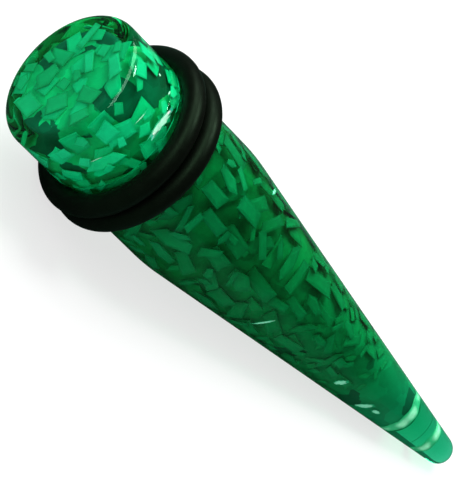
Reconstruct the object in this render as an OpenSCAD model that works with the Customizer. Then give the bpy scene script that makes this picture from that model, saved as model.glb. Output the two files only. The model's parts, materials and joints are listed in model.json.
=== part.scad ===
// Ear stretching taper: a solid acrylic cone with a straight shank and two rubber rings.
// It lies on its side, resting on the ring nearer the tip and on the rounded tip.
// The flat end is towards -X, the tip towards +X, and places along the taper are
// measured from the flat end.

/* [Taper body] */
// Diameter of the straight shank, which is the size that the taper stretches to
shank_d = 14; // [10:0.5:18]
// Length of the straight shank, from the flat end to the start of the cone
shank_len = 20.5; // [17:0.5:30]
// Overall length, from the flat end to the tip
overall_len = 65; // [55:1:90]
// Diameter of the rounded tip
tip_d = 3; // [2:0.1:4]
// Radius of the polished edge round the flat end
edge_r = 1; // [0.4:0.1:1.5]

/* [Rubber rings] */
// Thickness of the round rubber cord
cord_d = 2.1; // [1.6:0.1:2.5]
// Depth of the shallow seat, turned in the shank, that both rings sit in
seat_depth = 0.3; // [0.1:0.05:0.5]
// Distance from the flat end to the middle of the ring on the head side
ring_from_end = 8.3; // [6:0.1:10]
// Angle by which the ring on the head side leans out of square
ring_lean = 1.8; // [0:0.1:3]
// Direction round the shank in which that ring leans towards the flat end, 0 being downwards
lean_turn = 150; // [0:5:355]
// Gap between the two rings where they are closest
ring_gap = 0.06; // [0.04:0.01:0.5]
// Clearance between a ring and the floor and the walls of its seat
ring_clear = 0.02; // [0.02:0.01:0.05]

/* [Hidden] */
$fn = 96;

shank_r = shank_d / 2;
tip_r = tip_d / 2;
cord_r = cord_d / 2;

// The cone meets the round tip without a step
tip_mid = overall_len - tip_r;
cone_run = tip_mid - shank_len;
cone_slope = atan2(shank_r, cone_run) - asin(tip_r / norm([cone_run, shank_r]));
tip_join = tip_mid + tip_r * sin(cone_slope);
tip_join_r = tip_r * cos(cone_slope);

// Radius to the middle of a ring's cord, and the place of the second ring
seat_r = shank_r - seat_depth;
ring_r = seat_r + ring_clear + cord_r;
lean_swing = ring_r * sin(ring_lean);
ring_pitch = cord_d + ring_gap + lean_swing;
ring_tip_from_end = ring_from_end + ring_pitch;

// The seat reaches from one side of the pair of rings to the other
seat_start = ring_from_end - lean_swing - cord_r - ring_clear;
seat_end = ring_tip_from_end + cord_r + ring_clear;

// The taper tips forward until the round tip touches what the ring stands on
rest_run = tip_mid - ring_tip_from_end;
rest_tilt = atan2(ring_r, rest_run) + asin((cord_r - tip_r) / norm([rest_run, ring_r]));
end_height = tip_r + tip_mid * sin(rest_tilt);
back_reach = edge_r + (shank_r - edge_r) * sin(rest_tilt) - edge_r * cos(rest_tilt);
front_reach = tip_mid * cos(rest_tilt) + tip_r;
end_x = (back_reach - front_reach) / 2;

// Puts a taper that was made upright, flat end down at the origin, on its side
module lay_down() {
    translate([end_x, 0, end_height])
        rotate([0, 90 + rest_tilt, 0])
            children();
}

// A round section carried once about the Z axis
module round_hoop(mid_r, section_r) {
    rotate_extrude()
        translate([mid_r, 0])
            circle(section_r);
}

module taper_body() {
    color("seagreen")
        lay_down() {
            cylinder(h = seat_start, r = shank_r - edge_r);
            translate([0, 0, edge_r]) {
                round_hoop(shank_r - edge_r, edge_r);
                cylinder(h = seat_start - edge_r, r = shank_r);
                cylinder(h = shank_len - edge_r, r = seat_r);
            }
            translate([0, 0, seat_end])
                cylinder(h = shank_len - seat_end, r = shank_r);
            translate([0, 0, shank_len])
                cylinder(h = tip_join - shank_len, r1 = shank_r, r2 = tip_join_r);
            translate([0, 0, tip_mid])
                sphere(tip_r);
        }
}

module ring_head_side() {
    color("black")
        lay_down()
            translate([0, 0, ring_from_end])
                rotate([0, 0, lean_turn])
                    rotate([0, ring_lean, 0])
                        round_hoop(ring_r, cord_r);
}

module ring_tip_side() {
    color("black")
        lay_down()
            translate([0, 0, ring_tip_from_end])
                round_hoop(ring_r, cord_r);
}

taper_body();
ring_head_side();
ring_tip_side();
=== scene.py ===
import json
import math

import bmesh
import bpy
import numpy as np
from mathutils import Matrix, Vector
from mathutils.noise import noise as wander


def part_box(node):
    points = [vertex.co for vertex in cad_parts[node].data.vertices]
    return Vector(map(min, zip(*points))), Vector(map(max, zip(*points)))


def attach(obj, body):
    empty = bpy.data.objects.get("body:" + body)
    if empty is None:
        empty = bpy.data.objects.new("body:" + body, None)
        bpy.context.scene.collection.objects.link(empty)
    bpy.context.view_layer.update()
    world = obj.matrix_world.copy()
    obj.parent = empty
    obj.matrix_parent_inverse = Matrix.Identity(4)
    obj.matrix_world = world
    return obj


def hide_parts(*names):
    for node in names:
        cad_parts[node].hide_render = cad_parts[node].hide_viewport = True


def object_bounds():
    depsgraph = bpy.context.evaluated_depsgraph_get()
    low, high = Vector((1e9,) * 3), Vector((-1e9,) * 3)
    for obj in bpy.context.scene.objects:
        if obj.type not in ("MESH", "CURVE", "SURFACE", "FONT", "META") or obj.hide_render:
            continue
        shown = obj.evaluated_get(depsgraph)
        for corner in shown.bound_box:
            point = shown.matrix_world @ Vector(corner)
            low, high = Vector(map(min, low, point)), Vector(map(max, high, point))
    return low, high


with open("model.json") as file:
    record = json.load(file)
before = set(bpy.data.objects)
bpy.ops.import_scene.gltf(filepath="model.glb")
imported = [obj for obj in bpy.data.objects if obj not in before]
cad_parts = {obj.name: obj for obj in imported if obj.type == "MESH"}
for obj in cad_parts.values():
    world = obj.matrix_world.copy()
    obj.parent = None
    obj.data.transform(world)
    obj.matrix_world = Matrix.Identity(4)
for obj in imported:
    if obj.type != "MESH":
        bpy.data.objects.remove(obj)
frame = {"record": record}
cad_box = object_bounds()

# An ear stretching taper. Each of its pieces is made upright, with the flat end down at the
# origin, and is then laid down where the frame has the taper. Heights are distances from the
# flat end towards the tip.

MM = 0.001
TAU = 2 * math.pi
AXIS = np.array((0, 0, 1.0))
WHITE = (1, 1, 1)
SEED = 7

# How the taper lies: the middle of its flat end, and the ways along it, across it and under it
MOUNTS = {mount["name"]: mount for mount in frame["record"]["mounts"]}
FLAT_END = Vector(MOUNTS["flat_end"]["pos_m"])
ALONG = -Vector(MOUNTS["flat_end"]["axis"]).normalized()
ACROSS = Vector((0, 1, 0))
UNDER = ACROSS.cross(ALONG)
LAY_DOWN = Matrix.Translation(FLAT_END) @ Matrix((UNDER, ACROSS, ALONG)).transposed().to_4x4()


def from_end(point):
    """Distance from the flat end to a point, along the taper."""
    return (Vector(point) - FLAT_END).dot(ALONG)


def bare_shank(name):
    """Where a bare stretch of the shank starts and ends."""
    mount = MOUNTS[name]
    middle = from_end(mount["pos_m"])
    half = mount["dims"]["length_mm"] * MM / 2
    return middle - half, middle + half


def ring_place(node):
    """Distance from the flat end to the middle of a ring."""
    low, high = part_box(node)
    return from_end((low + high) / 2)


# Sizes read from the frame
SHANK_R = MOUNTS["lobe_shank"]["dims"]["r_mm"] * MM
EDGE_R, SEAT_START = bare_shank("head_stub")
SEAT_END, SHANK_LEN = bare_shank("lobe_shank")
RING_HEAD, RING_TIP = ring_place("ring_head_side"), ring_place("ring_tip_side")

# Sizes of the casting
TIP_R = 1.5 * MM
SEAT_DEPTH = 0.3 * MM
SEAT_ROUND = 0.05 * MM
SHOULDER_HALF = 1.5 * MM
TIP_MID = (FLAT_END.z - TIP_R) / -ALONG.z
SEAT_R = SHANK_R - SEAT_DEPTH
CONE_RUN = TIP_MID - SHANK_LEN
CONE_SLOPE = math.atan2(SHANK_R, CONE_RUN) - math.asin(TIP_R / math.hypot(CONE_RUN, SHANK_R))
TIP_JOIN = TIP_MID + TIP_R * math.sin(CONE_SLOPE)

# A fine line turned in the head, on the side of the rings
LINE_AT = 5.75 * MM
LINE_HALF = 0.1 * MM
LINE_DEPTH = 0.04 * MM

# How fine the casting is: steps round it, and steps along each of its roundings
BODY_STEPS = 160
EDGE_STEPS = 12
SEAT_ROUND_STEPS = 3
SHOULDER_STEPS = 12
TIP_STEPS = 16

# Rows of points close beside the roundings, which keep the shading of the flat end, the wall
# and the seat straight, and rows along the cone
FACE_ROW = 0.12 * MM
WALL_ROW = 0.15 * MM
LIP_ROW = 0.2 * MM
SEAT_ROW = 0.1 * MM
TIP_ROW = 0.3 * MM
CONE_ROWS = (30 * MM, 40 * MM, 50 * MM, 58 * MM)

# Points of a spun skin that lie closer than this become one
MERGE_WITHIN = 0.002 * MM

# Angles in degrees from which an edge is left sharp
BODY_SHARP = 35
RING_SHARP = 60
CORE_SHARP = 40
FLAW_SHARP = 80

# Sizes of the rubber rings, and the steps round a ring and round its cord
CORD_R = 1.05 * MM
RING_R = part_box("ring_tip_side")[1].y - CORD_R
RING_LEAN = math.radians(1.8)
LEAN_TURN = math.radians(150)
RING_STEPS = 160
CORD_STEPS = 40

# Sizes of the chips: least and most half length, half width and half thickness
HEAD_CHIPS = np.array(((0.55, 1.5), (0.45, 1.1), (0.06, 0.12))) * MM
CONE_CHIPS = np.array(((0.8, 2.3), (0.35, 0.8), (0.06, 0.14))) * MM

# Chips are full size where the wall's radius is at least FULL_SIZE_R, and shrink with it down
# to LEAST_SIZE. SIZE_SPREAD is how far a size may stray, as a share of its range.
FULL_SIZE_R = 0.75 * SHANK_R
LEAST_SIZE = 0.4
SIZE_SPREAD = 0.3

# A chip's outline: the numbers of sides to draw from, how far in a corner may be trimmed, and
# how far round it may be shifted, as a share of a side
CHIP_SIDES = (4, 4, 4, 5)
LEAST_TRIM = 0.78
CORNER_SHIFT = 0.18

# A chip's rim: its width in the head and in the cone, and its thickness, as shares of the
# chip's own. Its tone is painted shade, darker than the chip's so that it fades into the shade
# between chips: a share of the chip's, RIM_DARK for the darkest chip, more by RIM_GAIN for the
# lightest, and RIM_MOST at most.
HEAD_RIM = 0.3
CONE_RIM = 0.45
RIM_THICK = 0.5
RIM_DARK = 0.58
RIM_GAIN = 0.42
RIM_MOST = 0.95

# Where the chips lie: the least gap between them, how far they tilt, where they end, and the
# clear skin over them on the head and on the cone
CHIP_GAP = 0.015 * MM
CHIP_TILT = 0.05
CHIPS_END = 50 * MM
HEAD_SKIN = 0.3 * MM
CONE_SKIN = 0.5 * MM

# In the search for chips that meet: the sine of an angle below which two edges count as
# parallel, and a length that only keeps a division from zero
PARALLEL = 1e-6
NEAR_ZERO = 1e-12

# The layers that the chips settle in: depth under the clear skin, tries at the end face and at
# the wall, and how much lighter the chips are painted, to make up for the shade of the chips above
LAYERS = ((0, 1000, 7000, 0), (0.4 * MM, 1000, 6500, 0.16))
LAYER_SPREAD = 0.08 * MM

# The power of an even draw that crowds the tries at the wall towards the head
HEAD_CROWDING = 2

# Tones of the chips, 0 being the darkest green and 1 the lightest, at heights along the taper:
# the middle tone, which is painted light, light in the head and painted shade past the rings, the
# spread to each side of it, and the share that a chip gets of its lift
PAINTED_LIGHT_TONE = (
    (0.5 * MM, 2 * MM, 6 * MM, 10 * MM, 35 * MM, 50 * MM),
    (0.55, 0.7, 0.84, 0.3, 0.3, 0.33),
)
TONE_SPREAD = ((6 * MM, 10 * MM, CHIPS_END), (0.06, 0.05, 0.02))
TONE_LIFT = ((6 * MM, 10 * MM), (1, 0.5))

# Large chips set in the head first: distance from the flat end and from the middle line,
# direction round the taper in degrees, half length and half width, the direction of the
# length (round the taper on the end face, out of line with the taper on the wall), and how
# much lighter they are
LARGE_CHIPS = (
    (0, 4.6 * MM, 115, 1.4 * MM, 0.65 * MM, 138, 0.02),
    (0, 2.3 * MM, 155, 1.3 * MM, 0.55 * MM, -92, 0.03),
    (0, 4.9 * MM, -169, 1.4 * MM, 0.7 * MM, -95, 0.06),
    (0, 2.7 * MM, -63, 1.2 * MM, 1.05 * MM, -179, 0),
    (0, 5.2 * MM, -102, 1.2 * MM, 0.65 * MM, 178, 0),
    (0, 4.4 * MM, -13, 1.6 * MM, 1.0 * MM, -125, -0.04),
    (0, 3.6 * MM, -127, 1.4 * MM, 0.9 * MM, -143, 0),
    (0, 3.0 * MM, 79, 1.2 * MM, 0.9 * MM, -174, 0),
    (1.6 * MM, 7 * MM, -168, 1.7 * MM, 0.7 * MM, -70, 0),
    (3.2 * MM, 7 * MM, -120, 1.5 * MM, 1.1 * MM, 70, 0.05),
    (4.9 * MM, 7 * MM, -96, 1.9 * MM, 0.75 * MM, 79, 0.15),
    (5.2 * MM, 7 * MM, -134, 1.9 * MM, 0.65 * MM, 81, 0.12),
)

# Clear windows between the chips of the head, with painted shade on the core behind them:
# distance from the flat end and from the middle line, direction round the taper in degrees, and
# reach
WINDOWS = (
    (0, 6.4 * MM, 62, 1.25 * MM),
    (0, 6.5 * MM, 86, 1.2 * MM),
    (2.2 * MM, 7 * MM, 70, 1.6 * MM),
    (2.3 * MM, 7 * MM, 100, 1.4 * MM),
    (0, 5.8 * MM, 146, 1.35 * MM),
    (1.7 * MM, 7 * MM, 134, 1.3 * MM),
    (0, 5.8 * MM, -32, 1.0 * MM),
    (0, 6.1 * MM, -60, 1.2 * MM),
    (2.4 * MM, 7 * MM, -142, 1.1 * MM),
    (3.7 * MM, 7 * MM, -163, 1.1 * MM),
    (4.7 * MM, 7 * MM, 175, 1.05 * MM),
    (5.8 * MM, 7 * MM, 166, 1.0 * MM),
    (3.0 * MM, 7 * MM, -94, 0.55 * MM),
    (4.2 * MM, 7 * MM, -70, 0.55 * MM),
)

# A window on the core behind it: a box of straight sides, WINDOW_DEPTH times as deep as it is
# wide, turned by WINDOW_TURN times its direction so that no two look alike. Its painted shade is
# darkest from WINDOW_DEEP past its sides inwards, and fades over WINDOW_BLEND from there outwards.
WINDOW_DEPTH = 2
WINDOW_TURN = 7
WINDOW_DEEP = -0.15 * MM
WINDOW_BLEND = 0.8 * MM

# The inner core under the chips, which fills the cone where the chips end: where it starts,
# where its round nose starts and ends, the radius of its corner, and the share of the wall's
# radius that it fills at heights along the taper
CORE_START = 1.12 * MM
CORE_NOSE = 54.6 * MM
CORE_END = 57.2 * MM
CORE_CORNER = 0.5 * MM
CORE_SHARE = ((6 * MM, 12 * MM, 46 * MM, 53 * MM), (0.78, 0.7, 0.68, 0.93))

# How fine the core is: steps round it, rows of points on its end, in the head and in the
# cone, and steps along its corner and its nose
CORE_STEPS = 80
CORE_END_ROWS = 12
CORE_HEAD_ROWS = 12
CORE_CONE_ROWS = 32
CORE_CORNER_STEPS = 4
CORE_NOSE_STEPS = 10

# Pale crescents in the tip, painted glints of the room's light refracted through it: distance from
# the flat end, and half width
GLINT_BANDS = ((55.5 * MM, 0.7 * MM), (60.5 * MM, 0.65 * MM))

# A crescent starts as a round hoop, so deep under the wall. It is made thin, and narrows from
# BAND_SIDE, its direction round the taper, down to a share of BAND_LEAST on the other side.
BAND_DEPTH = 0.12 * MM
BAND_HOOP_R = 1 * MM
BAND_THIN = 0.06
BAND_SIDE = math.radians(-128)
BAND_LEAST = 0.04
BAND_STEPS = 64
BAND_SECTION_STEPS = 20

# Noise along a crescent: the radius of the circle it is read on, how strongly it clouds the
# crescent, and what it is divided by to bend it, in half widths
BAND_NOISE = 2
BAND_CLOUD = 1.2
BAND_STEADY = 3

# Slivers shaped as air trapped under the wall and painted pale as glints: distance from the flat
# end, direction round the taper in degrees, half length, half width, and how far it is turned out
# of line with the taper
AIR_GLINTS = (
    (3.6 * MM, -139, 1.0 * MM, 0.07 * MM, 80),
    (3.8 * MM, -95, 0.8 * MM, 0.07 * MM, 85),
    (5.9 * MM, -147, 2.1 * MM, 0.5 * MM, 80),
    (3.9 * MM, -179, 0.2 * MM, 0.16 * MM, 0),
    (5.5 * MM, -172, 0.4 * MM, 0.14 * MM, 70),
    (23.1 * MM, 174, 1.1 * MM, 0.24 * MM, 55),
    (32.1 * MM, -88, 1.4 * MM, 0.2 * MM, 70),
    (45.4 * MM, -89, 0.9 * MM, 0.45 * MM, 55),
    (50.4 * MM, -80, 1.2 * MM, 0.45 * MM, 60),
    (52.0 * MM, -86, 0.7 * MM, 0.36 * MM, 15),
)
AIR_THICK = 0.05 * MM
AIR_DEPTH = 0.08 * MM

# A sliver of air starts as a ball, split AIR_FINENESS times. Each point's distance from its
# middle is AIR_REACH, more or less by AIR_RAGGED times a noise, which turns AIR_NOISE times
# over the ball's radius. AIR_PALE is how soon the sliver's painted glint pales from its rim to
# its middle.
AIR_FINENESS = 3
AIR_REACH = 0.7
AIR_RAGGED = 0.6
AIR_NOISE = 4.2
AIR_PALE = 2

# The camera's lens, and how the taper lies in its picture: the camera's angle above the floor,
# the taper's angle out of the picture's plane, its direction in the picture, clockwise from
# the right, and the middle of the flat end, to the right of the camera, below it and ahead
PICTURE_W = 466
FOCAL_PX = 3754.3
SENSOR_MM = 36
NEAREST = 0.01
VIEW_HEIGHT = math.radians(30)
AXIS_AWAY = math.radians(40.36)
AXIS_TURN = math.radians(45.13)
END_RIGHT, END_DOWN, END_AWAY = -2.037 * SHANK_R, -2.013 * SHANK_R, 46.262 * SHANK_R

# The white room's strength to the eye and in mirror reflections, and half the floor's width
ROOM_SEEN = 0.32
ROOM_MIRRORED = 0.04
FLOOR_HALF = 3

# Lamps, in metres and watts: name, direction and distance from the middle of the taper, width
# and height, power, and whether the lamp shows in mirror reflections
LAMPS = (
    ("overhead_lamp", (0.1, 0.7, 0.7), 0.6, (0.6, 0.6), 8.0, False),
    ("sheen_lamp", (0.1, 0.25, 1), 0.5, (0.12, 0.12), 1.4, True),
    ("head_side_lamp", (-0.9, -0.35, 0.35), 0.5, (0.35, 0.35), 0.8, False),
    ("front_lamp", (-0.1, -1, 0.18), 0.5, (0.4, 0.1), 0.6, False),
    ("edge_strip", (-0.5, 0.2, 0.74), 0.5, (0.9, 0.24), 2.9, True),
)


def arc(middle, radius, start, stop, steps):
    """Points of an arc in the plane of a profile, from one angle to another."""
    angles = [math.radians(start + (stop - start) * i / steps) for i in range(steps + 1)]
    return [(middle[0] + radius * math.cos(a), middle[1] + radius * math.sin(a)) for a in angles]


def polar(point):
    """Direction of a point round the Z axis, and its distance from that axis."""
    return math.atan2(point.y, point.x), math.hypot(point.x, point.y)


def on_skin(height, radius, around):
    """A point of the taper: its height, its distance from the middle line and its direction
    round that line, in degrees."""
    turn = math.radians(around)
    return np.array([radius * math.cos(turn), radius * math.sin(turn), height])


def spin_round(bm, points, steps):
    """Spins a profile of (radius, height) points once about the Z axis into a closed skin."""
    verts = [bm.verts.new((radius, 0, height)) for radius, height in points]
    edges = [bm.edges.new(pair) for pair in zip(verts, verts[1:])]
    bmesh.ops.spin(bm, geom=verts + edges, cent=(0, 0, 0), axis=(0, 0, 1), angle=TAU,
                   steps=steps, use_merge=True, use_duplicate=False)
    bmesh.ops.remove_doubles(bm, verts=bm.verts, dist=MERGE_WITHIN)
    bmesh.ops.recalc_face_normals(bm, faces=bm.faces)


def smooth_shade(bm, sharp_angle):
    """Shades a mesh smooth, apart from its sharp edges."""
    for face in bm.faces:
        face.smooth = True
    for edge in bm.edges:
        edge.smooth = edge.calc_face_angle(0) < math.radians(sharp_angle)


def put_in_scene(name, data):
    """Puts a mesh, a lamp or a camera into the scene."""
    thing = bpy.data.objects.new(name, data)
    bpy.context.scene.collection.objects.link(thing)
    return thing


def mesh_object(bm, name, material):
    """Makes a mesh into an object of one material."""
    mesh = bpy.data.meshes.new(name)
    bm.to_mesh(mesh)
    bm.free()
    mesh.materials.append(material)
    return put_in_scene(name, mesh)


def finish_piece(bm, name, material):
    """Makes a mesh into a named piece that rides on the taper."""
    piece = mesh_object(bm, name, material)
    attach(piece, "root")
    return piece


def empty_tree(owner):
    """The node tree of a material or a world, without any nodes."""
    owner.use_nodes = True
    owner.node_tree.nodes.clear()
    return owner.node_tree


def new_material(name):
    """A material, and its empty node tree."""
    material = bpy.data.materials.new(name)
    return material, empty_tree(material)


def add_node(tree, kind, inputs=None, **settings):
    """Adds a node. Each of its inputs gets a plain value, or a link from another's output."""
    node = tree.nodes.new(kind)
    for setting, value in settings.items():
        setattr(node, setting, value)
    for socket, value in (inputs or {}).items():
        if isinstance(value, bpy.types.NodeSocket):
            tree.links.new(value, node.inputs[socket])
        else:
            node.inputs[socket].default_value = value
    return node


def object_coords(tree):
    """The object's own coordinates."""
    return add_node(tree, "ShaderNodeTexCoord").outputs["Object"]


def read_layer(tree, name):
    """A number that the mesh holds at each of its points."""
    return add_node(tree, "ShaderNodeAttribute", attribute_name=name).outputs["Fac"]


def noise(tree, coords, scale, detail):
    """A noise texture on the given coordinates, in turns per metre."""
    return add_node(tree, "ShaderNodeTexNoise", {
        "Vector": coords,
        "Scale": scale,
        "Detail": detail,
        "Roughness": 0.55,
    }).outputs["Fac"]


def bump(tree, height, distance, strength):
    """A bump from a height, for a shader's Normal socket."""
    return add_node(tree, "ShaderNodeBump", {
        "Height": height,
        "Distance": distance,
        "Strength": strength,
    }).outputs["Normal"]


def ramp(tree, factor, stops):
    """Colours at the given places, blended between them."""
    node = add_node(tree, "ShaderNodeValToRGB", {"Fac": factor})
    elements = node.color_ramp.elements
    while len(elements) < len(stops):
        elements.new(0.5)
    for element, (place, colour) in zip(elements, stops):
        element.position = place
        element.color = (*colour, 1)
    return node.outputs["Color"]


def darken(tree, colour, by):
    """A colour multiplied by another."""
    inputs = {"Factor": 1, 6: colour, 7: by}
    node = add_node(tree, "ShaderNodeMix", inputs, data_type="RGBA", blend_type="MULTIPLY")
    return node.outputs[2]


def arithmetic(tree, operation, first, second):
    """Two numbers, brought together by an operation."""
    inputs = {0: first, 1: second}
    return add_node(tree, "ShaderNodeMath", inputs, operation=operation).outputs[0]


def rays(tree, operation, first, second):
    """Whether a ray is of two kinds: either with MAXIMUM, both with MULTIPLY."""
    path = add_node(tree, "ShaderNodeLightPath")
    return arithmetic(tree, operation, path.outputs[first], path.outputs[second])


def mix_shaders(tree, share, first, second):
    """One shader where the share is 0, another where it is 1."""
    inputs = {"Fac": share, 1: first.outputs[0], 2: second.outputs[0]}
    return add_node(tree, "ShaderNodeMixShader", inputs).outputs[0]


def flagged(tree, seen, mirrored):
    """Shows one shader to the eye and a darker one in mirror reflections, as black flags would."""
    reflected = rays(tree, "MULTIPLY", "Is Glossy Ray", "Is Reflection Ray")
    return mix_shaders(tree, reflected, seen, mirrored)


def acrylic():
    """Clear green cast acrylic, polished, with a faint waviness left by the polishing."""
    material, tree = new_material("green_acrylic")
    waves = noise(tree, object_coords(tree), scale=420, detail=2)
    glass = add_node(tree, "ShaderNodeBsdfPrincipled", {
        "Base Color": (0.4, 0.74, 0.55, 1),
        "Roughness": 0.05,
        "IOR": 1.49,
        "Specular IOR Level": 0.5,
        "Specular Tint": (0.45, 1, 0.72, 1),
        "Transmission Weight": 1.0,
        "Normal": bump(tree, waves, distance=0.02 * MM, strength=0.06),
    })
    lamps_pass = add_node(tree, "ShaderNodeBsdfTransparent", {"Color": (0.7, 0.97, 0.85, 1)})
    straight = rays(tree, "MAXIMUM", "Is Shadow Ray", "Is Diffuse Ray")
    tint = add_node(tree, "ShaderNodeVolumeAbsorption", {
        "Color": (0.0, 0.82, 0.67, 1),
        "Density": 1000.0,
    })
    add_node(tree, "ShaderNodeOutputMaterial", {
        "Surface": mix_shaders(tree, straight, glass, lamps_pass),
        "Volume": tint.outputs[0],
    })
    return material


def chip_plastic():
    """Opaque emerald plastic of the chips, a tone for each with painted light in it, and soft
    clouds.
    """
    material, tree = new_material("emerald_chips")
    coords = object_coords(tree)
    tones = ramp(tree, read_layer(tree, "tone"), (
        (0, (0.0, 0.05, 0.018)),
        (0.5, (0.004, 0.35, 0.155)),
        (1, (0.036, 0.95, 0.61)),
    ))
    clouds = ramp(tree, noise(tree, coords, scale=900, detail=4), (
        (0.3, (0.72, 0.8, 0.78)),
        (0.7, WHITE),
    ))
    grain = noise(tree, coords, scale=2500, detail=3)
    plastic = add_node(tree, "ShaderNodeBsdfPrincipled", {
        "Base Color": darken(tree, tones, clouds),
        "Roughness": 0.5,
        "Specular IOR Level": 0.15,
        "Normal": bump(tree, grain, distance=0.03 * MM, strength=0.4),
    })
    add_node(tree, "ShaderNodeOutputMaterial", {"Surface": plastic.outputs[0]})
    return material


def packed_plastic():
    """The deeper chips, packed close: a patchwork of greens, with painted light that is brightest
    in the head and darkest in the cone, and painted shade behind the windows.
    """
    material, tree = new_material("packed_core")
    coords = object_coords(tree)
    along = add_node(tree, "ShaderNodeMapRange", {
        "Value": add_node(tree, "ShaderNodeSeparateXYZ", {"Vector": coords}).outputs["X"],
        "From Min": cad_box[0].x,
        "From Max": cad_box[1].x,
    })
    # Painted light along the taper: bright in the head, painted shade in the cone, lighter near
    # the tip
    painted_light_along = ramp(tree, along.outputs["Result"], (
        (0.1, (0.03, 0.98, 0.55)),
        (0.18, (0.003, 0.5, 0.25)),
        (0.55, (0.0, 0.42, 0.21)),
        (0.8, (0.0, 0.24, 0.12)),
        (0.9, (0.004, 0.3, 0.16)),
    ))
    inputs = {"Vector": coords, "Scale": 480}
    cells = add_node(tree, "ShaderNodeTexVoronoi", inputs, distance="CHEBYCHEV")
    patches = ramp(tree, cells.outputs["Color"], (
        (0.2, (0.72, 0.72, 0.72)),
        (0.8, WHITE),
    ))
    # Painted shade behind the windows, with a jagged border that follows the cells
    cell_tone = add_node(tree, "ShaderNodeSeparateColor", {"Color": cells.outputs["Color"]})
    jagged = arithmetic(tree, "SUBTRACT", read_layer(tree, "free_of_window_shade"), cell_tone.outputs["Red"])
    window_shade = ramp(tree, jagged, (
        (0, (0.5, 0.2, 0.27)),
        (0.06, WHITE),
    ))
    clouds = ramp(tree, noise(tree, coords, scale=500, detail=4), (
        (0.35, (0.78, 0.78, 0.78)),
        (0.65, WHITE),
    ))
    greens = painted_light_along
    for shade in (patches, window_shade, clouds):
        greens = darken(tree, greens, shade)
    plastic = add_node(tree, "ShaderNodeBsdfPrincipled", {
        "Base Color": greens,
        "Roughness": 0.6,
        "Specular IOR Level": 0.1,
        "Normal": bump(tree, cells.outputs["Distance"], distance=0.2 * MM, strength=0.4),
    })
    add_node(tree, "ShaderNodeOutputMaterial", {"Surface": plastic.outputs[0]})
    return material


def black_rubber():
    """Black rubber with a soft sheen and a fine grain."""
    material, tree = new_material("black_rubber")
    coords = object_coords(tree)
    shades = ramp(tree, noise(tree, coords, scale=700, detail=5), (
        (0, (0.0006, 0.0009, 0.0006)),
        (1, (0.002, 0.0026, 0.0018)),
    ))
    rough = add_node(tree, "ShaderNodeMapRange", {
        "Value": noise(tree, coords, scale=1500, detail=3),
        "From Min": 0.3,
        "From Max": 0.7,
        "To Min": 0.36,
        "To Max": 0.5,
    })
    grain = noise(tree, coords, scale=5000, detail=3)
    rubber = add_node(tree, "ShaderNodeBsdfPrincipled", {
        "Base Color": shades,
        "Roughness": rough.outputs["Result"],
        "IOR": 1.3,
        "Specular IOR Level": 0.3,
        "Specular Tint": (0.45, 1, 0.5, 1),
        "Normal": bump(tree, grain, distance=0.02 * MM, strength=0.35),
    })
    add_node(tree, "ShaderNodeOutputMaterial", {"Surface": rubber.outputs[0]})
    return material


def glint_paint(name, colour, mirror):
    """Pale, slightly cloudy paint for flaws in the casting, standing in for glints as painted
    highlights, more or less like a mirror.
    """
    material, tree = new_material(name)
    clouds = ramp(tree, noise(tree, object_coords(tree), scale=1800, detail=3), (
        (0.3, tuple(0.7 * part for part in colour)),
        (0.7, colour),
    ))
    fade = ramp(tree, read_layer(tree, "glint_paleness"), (
        (0, (0.0, 0.42, 0.23)),
        (0.4, (0.1, 0.55, 0.38)),
        (0.9, WHITE),
    ))
    pale = add_node(tree, "ShaderNodeBsdfPrincipled", {
        "Base Color": darken(tree, clouds, fade),
        "Roughness": 0.4,
        "Metallic": mirror,
    })
    add_node(tree, "ShaderNodeOutputMaterial", {"Surface": pale.outputs[0]})
    return material


def shoulder(height):
    """Radius of the blended stretch between the shank and the cone."""
    run = height - (SHANK_LEN - SHOULDER_HALF)
    return SHANK_R - math.tan(CONE_SLOPE) * run ** 2 / (4 * SHOULDER_HALF)


def cone(height):
    """Radius of the cone."""
    return SHANK_R - math.tan(CONE_SLOPE) * (height - SHANK_LEN)


def body_profile():
    """The casting's outline, from the middle of the flat end to the tip."""
    flat_r = SHANK_R - EDGE_R
    lip_r = SHANK_R - SEAT_ROUND
    points = [(0, 0), (flat_r / 2, 0), (flat_r - FACE_ROW, 0)]
    points += arc((flat_r, EDGE_R), EDGE_R, -90, 0, EDGE_STEPS)
    points += [(SHANK_R, EDGE_R + WALL_ROW), (SHANK_R, LINE_AT - LINE_HALF)]
    points += [(SHANK_R - LINE_DEPTH, LINE_AT), (SHANK_R, LINE_AT + LINE_HALF)]
    points += [(SHANK_R, SEAT_START - LIP_ROW)]
    points += arc((lip_r, SEAT_START - SEAT_ROUND), SEAT_ROUND, 0, 90, SEAT_ROUND_STEPS)
    points += [(SEAT_R, SEAT_START), (SEAT_R, SEAT_START + SEAT_ROW)]
    points += [(SEAT_R, SEAT_END - SEAT_ROW), (SEAT_R, SEAT_END)]
    points += arc((lip_r, SEAT_END + SEAT_ROUND), SEAT_ROUND, -90, 0, SEAT_ROUND_STEPS)
    points += [(SHANK_R, SEAT_END + LIP_ROW)]
    for i in range(SHOULDER_STEPS + 1):
        height = SHANK_LEN + SHOULDER_HALF * (2 * i / SHOULDER_STEPS - 1)
        points.append((shoulder(height), height))
    points += [(cone(height), height) for height in (*CONE_ROWS, TIP_JOIN - TIP_ROW)]
    points += arc((0, TIP_MID), TIP_R, math.degrees(CONE_SLOPE), 90, TIP_STEPS)
    return points


def make_body(material):
    """The one-piece casting."""
    bm = bmesh.new()
    spin_round(bm, body_profile(), BODY_STEPS)
    smooth_shade(bm, BODY_SHARP)
    bmesh.ops.transform(bm, matrix=LAY_DOWN, verts=bm.verts)
    body = finish_piece(bm, "acrylic_body", material)
    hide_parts("taper_body")


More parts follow.
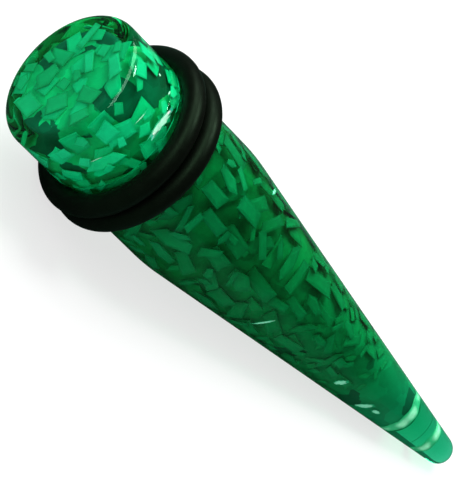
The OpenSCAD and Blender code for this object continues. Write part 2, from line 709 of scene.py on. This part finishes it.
def make_ring(name, node, place, lean, material):
    """One rubber ring: a round cord, stretched on its seat."""
    bm = bmesh.new()
    spin_round(bm, arc((RING_R, 0), CORD_R, 0, 360, CORD_STEPS), RING_STEPS)
    smooth_shade(bm, RING_SHARP)
    leaning = Matrix.Rotation(LEAN_TURN, 4, "Z") @ Matrix.Rotation(lean, 4, "Y")
    upright = Matrix.Translation((0, 0, place)) @ leaning
    bmesh.ops.transform(bm, matrix=LAY_DOWN @ upright, verts=bm.verts)
    ring = finish_piece(bm, name, material)
    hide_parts(node)


def skin_radius(heights):
    """Radius of the shank and the cone, without the seat, and just inside the shoulder."""
    return SHANK_R - math.tan(CONE_SLOPE) * np.maximum(heights - SHANK_LEN + SHOULDER_HALF, 0)


def wall_radius(heights):
    """Radius of the wall that chips lie behind: the skin's, or the seat's near the seat."""
    reach = CONE_CHIPS[0, 1]
    near_seat = (heights > SEAT_START - reach) & (heights < SEAT_END + reach)
    return np.where(near_seat, SEAT_R, skin_radius(heights))


def clear_skin(heights):
    """Thickness of the clear acrylic over the chips: thin on the head, and thicker on the cone
    and in the rounded corner."""
    share = np.clip((heights - SEAT_START) / (SHANK_LEN - SEAT_START), 0, 1)
    inner_r = EDGE_R - HEAD_SKIN
    fall = np.clip((EDGE_R - heights) / inner_r, 0, 1)
    round_corner = inner_r * (1 - np.sqrt(1 - fall ** 2))
    return HEAD_SKIN + (CONE_SKIN - HEAD_SKIN) * share + round_corner


def core_radius(height):
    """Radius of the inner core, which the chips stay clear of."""
    return np.interp(height, *CORE_SHARE) * wall_radius(height)


def chip_corners(place, axes, halves):
    """The eight corners of a chip's box."""
    signs = np.array([(x, y, z) for x in (-1, 1) for y in (-1, 1) for z in (-1, 1)])
    return place + (signs * halves) @ axes


def sticks_out(corners):
    """How far a chip's corners reach into the clear skin of the side wall."""
    heights = corners[:, 2]
    room = wall_radius(heights) - clear_skin(heights)
    return np.max(np.hypot(corners[:, 0], corners[:, 1]) - room)


def turned_axes(rng, facing):
    """A chip's three axes: the last one faces roughly the given way, tilted at random."""
    facing = facing + rng.normal(0, CHIP_TILT, 3)
    facing /= np.linalg.norm(facing)
    first = np.cross(facing, rng.normal(0, 1, 3))
    first /= np.linalg.norm(first)
    return np.array([first, np.cross(facing, first), facing])


def chip_size(rng, height, share):
    """Half length, width and thickness of a chip: large at first, smaller as the share of the
    tries that are done grows, and small in the thin cone."""
    room = np.clip(wall_radius(height) / FULL_SIZE_R, LEAST_SIZE, 1)
    low, high = (HEAD_CHIPS if height < SEAT_START else CONE_CHIPS).T
    shares = np.clip(share + rng.uniform(-SIZE_SPREAD, SIZE_SPREAD, 3), 0, 1)
    return (high - (high - low) * shares) * room


def chip_tone(rng, height, lift):
    """Tone of a chip, painted light: light in the head, where light comes in, painted shade past
    the rings.
    """
    middle = np.interp(height, *PAINTED_LIGHT_TONE)
    spread = np.interp(height, *TONE_SPREAD)
    lift *= np.interp(height, *TONE_LIFT)
    return min(rng.uniform(middle - spread, middle + spread) + lift, 1)


class ChipBed:
    """The chips cast so far, none of which touch."""

    def __init__(self):
        self.places, self.axes, self.halves, self.tones = [], [], [], []

    def reaches(self):
        """The half diagonals of the chips in the bed, with the gap round each."""
        return np.linalg.norm(np.array(self.halves), axis=1) + CHIP_GAP

    def meets(self, place, axes, halves):
        """True if a new chip's box meets one in the bed, by their separating axes."""
        if not self.places:
            return False
        apart = np.linalg.norm(np.array(self.places) - place, axis=1)
        near = np.nonzero(apart < np.linalg.norm(halves) + self.reaches())[0]
        if not len(near):
            return False
        others = np.array([self.axes[i] for i in near])
        spans = np.array([self.halves[i] for i in near])
        way = np.array([self.places[i] for i in near]) - place
        crosses = np.cross(axes[None, :, None, :], others[:, None, :, :]).reshape(len(near), 9, 3)
        mine = np.broadcast_to(axes, (len(near), 3, 3))
        lines = np.concatenate([mine, others, crosses], axis=1)
        lengths = np.linalg.norm(lines, axis=2) + NEAR_ZERO
        my_reach = (np.abs(lines @ axes.T) * halves).sum(axis=2)
        other_reach = np.abs(np.einsum("nij,nkj->nik", lines, others)) * spans[:, None, :]
        gaps = np.abs(np.einsum("nij,nj->ni", lines, way)) - my_reach - other_reach.sum(axis=2)
        apart_by = np.where(lengths > PARALLEL, gaps / lengths, -1)
        return bool((apart_by.max(axis=1) < CHIP_GAP).any())

    def add(self, place, axes, halves, tone):
        """Puts a chip in, unless it would touch another."""
        if not self.meets(place, axes, halves):
            self.places.append(place)
            self.axes.append(axes)
            self.halves.append(halves)
            self.tones.append(tone)


def in_window(place, axes, halves):
    """True if a chip would stand in one of the windows."""
    for height, radius, around, reach in WINDOWS:
        apart = np.maximum(np.abs(axes @ (on_skin(height, radius, around) - place)) - halves, 0)
        if np.linalg.norm(apart) < reach:
            return True
    return False


def fits(place, axes, halves):
    """True if a chip lies wholly between the clear skin and the core, and in no window."""
    corners = chip_corners(place, axes, halves)
    low, high = corners[:, 2].min(), corners[:, 2].max()
    if low < HEAD_SKIN or high > CHIPS_END or sticks_out(corners) > 0:
        return False
    if in_window(place, axes, halves):
        return False
    across = place[:2] / np.linalg.norm(place[:2])
    clear_of_core = (corners[:, :2] @ across).min() > core_radius(low) + CHIP_GAP
    return clear_of_core or high < CORE_START - CHIP_GAP


def lay_large_chips(bed, rng):
    """The large chips that are set in the head first, just under its clear skin."""
    for height, radius, around, half_length, half_width, turned, lift in LARGE_CHIPS:
        out = on_skin(0, 1, around)
        if height:
            facing = out
            first = np.array(Matrix.Rotation(math.radians(turned), 3, out) @ Vector(AXIS))
        else:
            facing = -AXIS
            first = on_skin(0, 1, turned)
        axes = np.array([first, np.cross(facing, first), facing])
        halves = np.array([half_length, half_width, HEAD_CHIPS[2, 1]])
        place = on_skin(max(height, HEAD_SKIN + halves[2]), radius, around)
        place = place - out * max(sticks_out(chip_corners(place, axes, halves)), 0)
        bed.add(place, axes, halves, chip_tone(rng, height, lift))


def lay_end_chips(bed, rng, depth, tries, lift):
    """Chips that lie flat behind the end face."""
    for k in range(tries):
        radius = SHANK_R * math.sqrt(rng.uniform(0, 1))
        turn = rng.uniform(0, TAU)
        axes = turned_axes(rng, AXIS)
        halves = chip_size(rng, 0, k / tries)
        place = np.array([radius * math.cos(turn), radius * math.sin(turn), 0])
        under = HEAD_SKIN + depth + rng.uniform(0, LAYER_SPREAD)
        place[2] = under - chip_corners(place, axes, halves)[:, 2].min()
        if fits(place, axes, halves):
            bed.add(place, axes, halves, chip_tone(rng, place[2], lift))


def lay_wall_chips(bed, rng, depth, tries, lift):
    """Chips that lie flat behind the side wall."""
    for k in range(tries):
        height = CHIPS_END * rng.uniform(0, 1) ** HEAD_CROWDING
        turn = rng.uniform(0, TAU)
        out = np.array([math.cos(turn), math.sin(turn), 0])
        axes = turned_axes(rng, out)
        halves = chip_size(rng, height, k / tries)
        place = out * wall_radius(height) + height * AXIS
        too_far = sticks_out(chip_corners(place, axes, halves))
        place = place - out * (too_far + depth + rng.uniform(0, LAYER_SPREAD))
        if fits(place, axes, halves):
            bed.add(place, axes, halves, chip_tone(rng, height, lift))


def cut_chip(bm, rng, tone_layer, place, axes, halves, tone):
    """Cuts one chip: a flat plate of four or five uneven sides, thinner at its rim, with painted
    shade there.
    """
    sides = int(rng.choice(CHIP_SIDES))
    half_side = math.pi / sides
    stretch = 1 / math.cos(half_side)
    rim = bmesh.ops.create_cone(bm, cap_ends=True, segments=sides, radius1=1, radius2=1,
                                depth=2 * RIM_THICK)["verts"]
    faces = dict.fromkeys(face for vert in rim for face in vert.link_faces)
    # A side face's corners lie as far below the middle as above it, and a cap's don't
    caps = [face for face in faces if abs(sum(vert.co.z for vert in face.verts)) > RIM_THICK]
    rim_width = HEAD_RIM if place[2] < SEAT_START else CONE_RIM
    bmesh.ops.inset_individual(bm, faces=caps, thickness=rim_width, depth=1 - RIM_THICK)
    # Painted shade on the rim, which fades the chip into the shade between chips
    for vert in rim:
        vert[tone_layer] = tone * min(RIM_DARK + RIM_GAIN * tone, RIM_MOST)
    middle = {vert for face in caps for vert in face.verts}
    for vert in middle:
        vert[tone_layer] = tone
    trims = rng.uniform(LEAST_TRIM, 1, sides)
    shifts = rng.uniform(-CORNER_SHIFT, CORNER_SHIFT, sides) * TAU / sides + half_side
    for vert in middle.union(rim):
        angle, radius = polar(vert.co)
        corner = round(angle / TAU * sides) % sides
        reach, angle = trims[corner] * stretch * radius, angle + shifts[corner]
        flat = (reach * math.cos(angle), reach * math.sin(angle), vert.co.z)
        vert.co = place + (np.clip(flat, -1, 1) * halves) @ axes


def make_chips(material):
    """All the chips, in one piece."""
    rng = np.random.default_rng(SEED)
    bed = ChipBed()
    lay_large_chips(bed, rng)
    for depth, end_tries, wall_tries, lift in LAYERS:
        lay_end_chips(bed, rng, depth, end_tries, lift)
        lay_wall_chips(bed, rng, depth, wall_tries, lift)
    bm = bmesh.new()
    tone_layer = bm.verts.layers.float.new("tone")
    for chip in zip(bed.places, bed.axes, bed.halves, bed.tones):
        cut_chip(bm, rng, tone_layer, *chip)
    bmesh.ops.recalc_face_normals(bm, faces=bm.faces)
    bmesh.ops.transform(bm, matrix=LAY_DOWN, verts=bm.verts)
    finish_piece(bm, "cast_chips", material)


def core_profile():
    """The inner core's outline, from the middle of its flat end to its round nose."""
    start_r = float(core_radius(CORE_START)) - CORE_CORNER
    nose_r = float(core_radius(CORE_NOSE))
    wall_start = CORE_START + CORE_CORNER
    points = [(radius, CORE_START) for radius in np.linspace(0, start_r, CORE_END_ROWS)]
    points += arc((start_r, wall_start), CORE_CORNER, -90, 0, CORE_CORNER_STEPS)[1:]
    heights = np.linspace(wall_start, SEAT_START, CORE_HEAD_ROWS)[1:]
    heights = np.append(heights, np.linspace(SEAT_START, CORE_NOSE, CORE_CONE_ROWS)[1:])
    points += [(float(core_radius(height)), height) for height in heights]
    for radius, rise in arc((0, 0), 1, 0, 90, CORE_NOSE_STEPS)[1:]:
        points.append((radius * nose_r, CORE_NOSE + rise * (CORE_END - CORE_NOSE)))
    return points


def past_window(point, height, radius, around, reach):
    """How far a point of the core lies past a window's straight sides."""
    outwards = Matrix.Rotation(math.radians(around), 3, "Z")
    facing = "X" if height else "Z"
    window = outwards @ Matrix.Rotation(math.radians(WINDOW_TURN * around), 3, facing)
    sides = window.transposed() @ (point - Vector(on_skin(height, radius, around)))
    sides["XYZ".index(facing)] /= WINDOW_DEPTH
    return max(abs(side) for side in sides) - reach


def make_core(material):
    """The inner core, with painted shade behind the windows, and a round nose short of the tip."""
    bm = bmesh.new()
    spin_round(bm, core_profile(), CORE_STEPS)
    # Painted shade behind the windows: 0 deep in a window's shade, 1 clear of it
    window_shade_layer = bm.verts.layers.float.new("free_of_window_shade")
    for vert in bm.verts:
        away = min(past_window(vert.co, *window) for window in WINDOWS)
        vert[window_shade_layer] = min(max((away - WINDOW_DEEP) / WINDOW_BLEND, 0), 1)
    smooth_shade(bm, CORE_SHARP)
    bmesh.ops.transform(bm, matrix=LAY_DOWN, verts=bm.verts)
    finish_piece(bm, "cast_core", material)


def nearest_band(height):
    """The pale band that a height belongs to."""
    return min(GLINT_BANDS, key=lambda band: abs(height - band[0]))


def make_glint_bands(material):
    """Pale crescents round the inside of the tip, painted glints of the room's light refracted
    through it, thickest on one side, fading at their edges.
    """
    bm = bmesh.new()
    glint_paleness = bm.verts.layers.float.new("glint_paleness")
    for height, _ in GLINT_BANDS:
        hoop_middle = (cone(height) - BAND_DEPTH, height)
        section = arc(hoop_middle, BAND_HOOP_R, 0, 360, BAND_SECTION_STEPS)
        spin_round(bm, section, BAND_STEPS)
    for vert in bm.verts:
        height, half_width = nearest_band(vert.co.z)
        middle_r, rise = cone(height) - BAND_DEPTH, (vert.co.z - height) / BAND_HOOP_R
        angle, radius = polar(vert.co)
        share = max(BAND_LEAST, math.cos((angle - BAND_SIDE) / 2) ** 2)
        radius = middle_r + BAND_THIN * share * (radius - middle_r)
        across, beside = BAND_NOISE * math.cos(angle), BAND_NOISE * math.sin(angle)
        drift = wander(Vector((across, beside, height / MM)))
        vert[glint_paleness] = (1 - rise ** 2) * share * min(max(1 + BAND_CLOUD * drift, 0), 1)
        rise = (rise * share + drift / BAND_STEADY) * half_width
        vert.co = on_skin(height + rise, radius, math.degrees(angle))
    smooth_shade(bm, FLAW_SHARP)
    bmesh.ops.transform(bm, matrix=LAY_DOWN, verts=bm.verts)
    finish_piece(bm, "glint_bands", material)


def make_air_glints(material):
    """Ragged slivers of air under the wall, painted pale as glints that shine through it."""
    bm = bmesh.new()
    glint_paleness = bm.verts.layers.float.new("glint_paleness")
    for height, around, half_length, half_width, turned in AIR_GLINTS:
        ball = bmesh.ops.create_icosphere(bm, subdivisions=AIR_FINENESS, radius=1)["verts"]
        for vert in ball:
            vert[glint_paleness] = min(AIR_PALE * vert.co.x ** 2, 1)
            spot = vert.co * AIR_NOISE + Vector((0, 0, around))
            vert.co *= AIR_REACH + AIR_RAGGED * wander(spot)
        out = skin_radius(height) - AIR_DEPTH - AIR_THICK
        lie = Matrix.Rotation(math.radians(around), 4, "Z") @ Matrix.Translation((out, 0, height))
        lie = lie @ Matrix.Rotation(math.radians(turned), 4, "X")
        size = Matrix.Diagonal((AIR_THICK, half_width, half_length, 1))
        bmesh.ops.transform(bm, matrix=LAY_DOWN @ lie @ size, verts=ball)
    bmesh.ops.recalc_face_normals(bm, faces=bm.faces)
    smooth_shade(bm, FLAW_SHARP)
    finish_piece(bm, "air_glints", material)


def make_floor():
    """The plain pale floor, lit from below like a light table."""
    material, tree = new_material("pale_floor")
    paint = add_node(tree, "ShaderNodeBsdfPrincipled", {
        "Base Color": (0.17, 0.17, 0.17, 1),
        "Roughness": 0.7,
        "Specular IOR Level": 0.2,
        "Emission Color": (*WHITE, 1),
        "Emission Strength": 0.7,
    })
    dim = add_node(tree, "ShaderNodeBsdfDiffuse", {"Color": (0.028, 0.07, 0.05, 1)})
    add_node(tree, "ShaderNodeOutputMaterial", {"Surface": flagged(tree, paint, dim)})
    bm = bmesh.new()
    bmesh.ops.create_grid(bm, x_segments=1, y_segments=1, size=FLOOR_HALF)
    floor = mesh_object(bm, "floor", material)


def softbox(name, towards, distance, sizes, power, mirrored):
    """A soft lamp, so wide and so high, placed from the middle of the taper and aimed at it."""
    lamp = bpy.data.lights.new(name, "AREA")
    lamp.shape = "RECTANGLE"
    lamp.size, lamp.size_y = sizes
    lamp.energy = power
    holder = put_in_scene(name, lamp)
    holder.visible_glossy = mirrored
    middle = (cad_box[0] + cad_box[1]) / 2
    way = Vector(towards).normalized()
    turn = way.to_track_quat("Z", "Y").to_matrix().to_4x4()
    holder.matrix_world = Matrix.Translation(middle + way * distance) @ turn


def light_room():
    """Plain soft studio light: white walls, dim in mirror reflections, and the lamps."""
    world = bpy.data.worlds.new("room")
    tree = empty_tree(world)
    walls, dim = [
        add_node(tree, "ShaderNodeBackground", {"Color": (*WHITE, 1), "Strength": strength})
        for strength in (ROOM_SEEN, ROOM_MIRRORED)
    ]
    add_node(tree, "ShaderNodeOutputWorld", {"Surface": flagged(tree, walls, dim)})
    bpy.context.scene.world = world
    for lamp in LAMPS:
        softbox(*lamp)


def aim_camera():
    """The camera: the taper's axis goes right and down in the picture, and away from it."""
    back_x = (math.sin(VIEW_HEIGHT) * -ALONG.z - math.sin(AXIS_AWAY)) / ALONG.x
    back_z = math.sin(VIEW_HEIGHT)
    back = Vector((back_x, -math.sqrt(1 - back_x ** 2 - back_z ** 2), back_z))
    ahead = -back
    in_picture = (ALONG - ALONG.dot(ahead) * ahead).normalized()
    beside = ALONG.cross(ahead).normalized()
    right = math.cos(AXIS_TURN) * in_picture + math.sin(AXIS_TURN) * beside
    down = math.sin(AXIS_TURN) * in_picture - math.cos(AXIS_TURN) * beside
    place = FLAT_END - END_RIGHT * right - END_DOWN * down - END_AWAY * ahead
    lens = bpy.data.cameras.new("camera")
    lens.sensor_fit = "HORIZONTAL"
    lens.sensor_width = SENSOR_MM
    lens.lens = FOCAL_PX / PICTURE_W * SENSOR_MM
    lens.clip_start = NEAREST
    camera = put_in_scene("camera", lens)
    turn = Matrix((right, -down, back)).transposed().to_4x4()
    camera.matrix_world = Matrix.Translation(place) @ turn
    bpy.context.scene.camera = camera


def render_choices():
    """How light is followed through the clear casting, and how the picture is developed."""
    scene = bpy.context.scene
    scene.cycles.max_bounces = 24
    scene.cycles.diffuse_bounces = 5
    scene.cycles.glossy_bounces = 6
    scene.cycles.transmission_bounces = 16
    scene.cycles.transparent_max_bounces = 24
    scene.cycles.caustics_reflective = False
    scene.cycles.caustics_refractive = False
    scene.cycles.use_denoising = True
    scene.view_settings.view_transform = "Standard"


aim_camera()
render_choices()
light_room()
make_floor()
make_body(acrylic())
rubber = black_rubber()
make_ring("rubber_ring_head_side", "ring_head_side", RING_HEAD, RING_LEAN, rubber)
make_ring("rubber_ring_tip_side", "ring_tip_side", RING_TIP, 0, rubber)
make_core(packed_plastic())
make_glint_bands(glint_paint("glint_band_paint", colour=(0.6, 0.9, 0.7), mirror=0))
make_air_glints(glint_paint("air_glints", colour=(1, 0.95, 0.9), mirror=0.2))
make_chips(chip_plastic())
